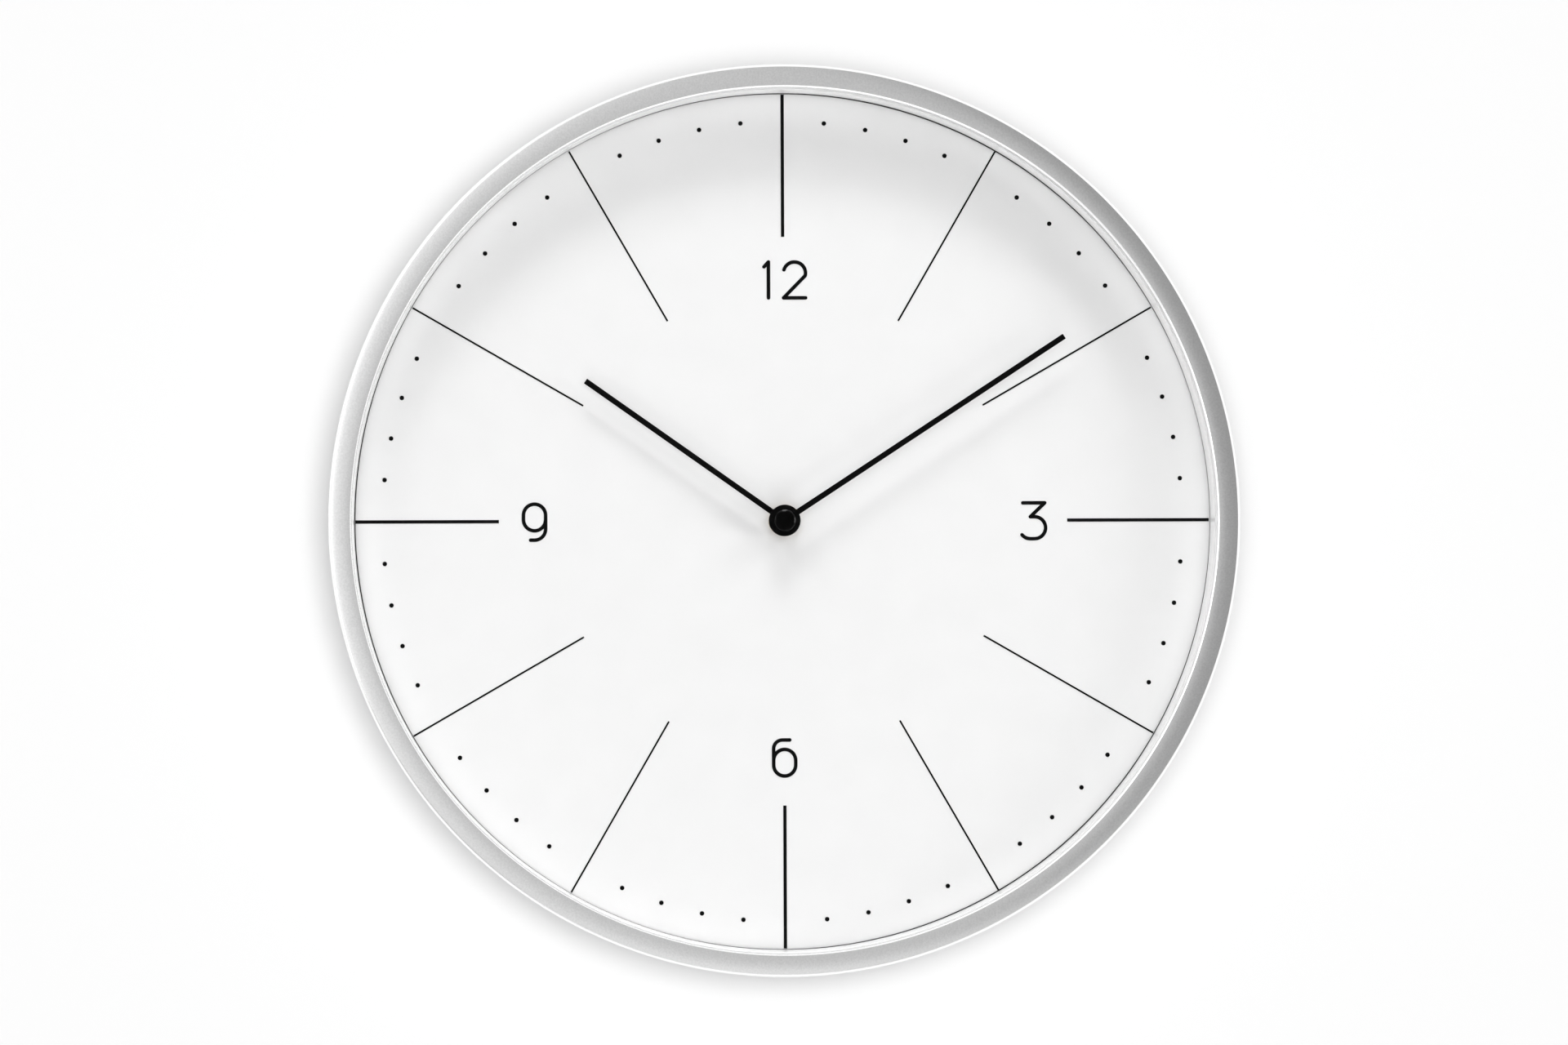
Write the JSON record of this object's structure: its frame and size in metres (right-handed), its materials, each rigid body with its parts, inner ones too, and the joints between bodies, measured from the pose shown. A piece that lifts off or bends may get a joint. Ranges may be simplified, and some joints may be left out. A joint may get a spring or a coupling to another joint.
{
  "type": "wall clock",
  "caption": "Round wall clock with a slim silver metal ring, flat glass, white dial with line and dot markers, straight black hands and a battery movement.",
  "frame": {"origin": "where the hands' axis meets the wall plane, in the middle of the ring's rear edge", "axes": "+Z to 12 o'clock, +X to 3 o'clock seen from the front, +Y into the wall, so the dial faces -Y"},
  "size_m": [0.3, 0.038, 0.3],
  "materials": {
    "case_metal": "satin silver, fine bead-blasted grain",
    "cover_glass": "clear flat glass",
    "gasket_plastic": "soft translucent ring",
    "ring_white": "white moulded, smooth",
    "seal_dark": "dark foam edge",
    "dial_white": "white matte sheet",
    "ink_black": "black printing ink",
    "hand_black": "black satin lacquer on aluminium",
    "cap_black": "black, glossy",
    "back_plastic": "light grey moulded, finely grained",
    "screw_steel": "zinc plated",
    "movement_black": "black moulded",
    "washer_rubber": "black rubber",
    "nut_brass": "turned brass",
    "gear_plastic": "natural acetal",
    "knob_plastic": "red moulded",
    "battery_label": "printed sleeve on a steel can",
    "contact_metal": "nickel plated spring strip",
    "board_resin": "green circuit board",
    "chip_resin": "black epoxy",
    "can_metal": "tin plated can",
    "motor_steel": "soft magnetic sheet",
    "bobbin_plastic": "natural nylon",
    "coil_copper": "enamelled copper wire",
    "magnet": "sintered magnet"
  },
  "bodies": {
    "clock_case": {"case_frame": "case_metal", "glass": "cover_glass", "glass_gasket": "gasket_plastic", "spacer_ring": "ring_white", "dial_seal": "seal_dark", "dial": "dial_white", "hour_lines": "ink_black", "minute_dots": "ink_black", "numerals": "ink_black", "back_cover": "back_plastic", "cover_screws": "screw_steel", "movement_housing": "movement_black", "movement_cover": "movement_black", "movement_washer": "washer_rubber", "collar_nut": "nut_brass", "gear_plate": "movement_black", "positive_contact": "contact_metal", "negative_contact": "contact_metal", "circuit_board": "board_resin", "clock_chip": "chip_resin", "quartz_crystal": "can_metal", "stator": "motor_steel", "coil_core": "motor_steel", "coil_bobbin": "bobbin_plastic", "coil_winding": "coil_copper"},
    "minute_group": {"minute_shaft": "gear_plastic", "minute_hand": "hand_black", "hand_cap": "cap_black"},
    "hour_group": {"hour_wheel": "gear_plastic", "hour_hand": "hand_black"},
    "motion_group": {"motion_wheel": "gear_plastic", "setting_knob": "knob_plastic"},
    "seconds_group": {"seconds_wheel": "gear_plastic"},
    "third_group": {"third_wheel": "gear_plastic"},
    "centre_group": {"centre_wheel": "gear_plastic"},
    "intermediate_group": {"intermediate_wheel": "gear_plastic"},
    "rotor_group": {"rotor_magnet": "magnet", "rotor_pinion": "gear_plastic"},
    "battery_group": {"battery": "battery_label"}
  },
  "joints": [
    {"name": "minute_turn", "type": "hinge", "parent": "clock_case", "child": "minute_group", "pos_m": [0, 0, 0], "axis": [0, 1, 0], "continuous": true},
    {"name": "hour_turn", "type": "hinge", "parent": "clock_case", "child": "hour_group", "pos_m": [0, 0, 0], "axis": [0, 1, 0], "continuous": true},
    {"name": "motion_turn", "type": "hinge", "parent": "clock_case", "child": "motion_group", "pos_m": [0.01169, 0, 0.00675], "axis": [0, 1, 0], "continuous": true},
    {"name": "seconds_turn", "type": "hinge", "parent": "clock_case", "child": "seconds_group", "pos_m": [0, 0, 0], "axis": [0, 1, 0], "continuous": true},
    {"name": "third_turn", "type": "hinge", "parent": "clock_case", "child": "third_group", "pos_m": [-0.01252, 0, 0.00335], "axis": [0, 1, 0], "continuous": true},
    {"name": "centre_turn", "type": "hinge", "parent": "clock_case", "child": "centre_group", "pos_m": [0, 0, 0], "axis": [0, 1, 0], "continuous": true},
    {"name": "intermediate_turn", "type": "hinge", "parent": "clock_case", "child": "intermediate_group", "pos_m": [-0.00344, 0, 0.01285], "axis": [0, 1, 0], "continuous": true},
    {"name": "rotor_turn", "type": "hinge", "parent": "clock_case", "child": "rotor_group", "pos_m": [0.00471, 0, 0.01665], "axis": [0, 1, 0], "continuous": true},
    {"name": "battery_slide", "type": "slide", "parent": "clock_case", "child": "battery_group", "axis": [0, 1, 0], "range_m": [0, 0.02]}
  ],
  "couplings": [
    {"joint": "hour_turn", "follows": "minute_turn", "ratio": 0.083333},
    {"joint": "motion_turn", "follows": "minute_turn", "ratio": -0.33333},
    {"joint": "third_turn", "follows": "seconds_turn", "ratio": -0.125},
    {"joint": "centre_turn", "follows": "seconds_turn", "ratio": 0.016667},
    {"joint": "intermediate_turn", "follows": "seconds_turn", "ratio": -6},
    {"joint": "rotor_turn", "follows": "seconds_turn", "ratio": 30}
  ]
}
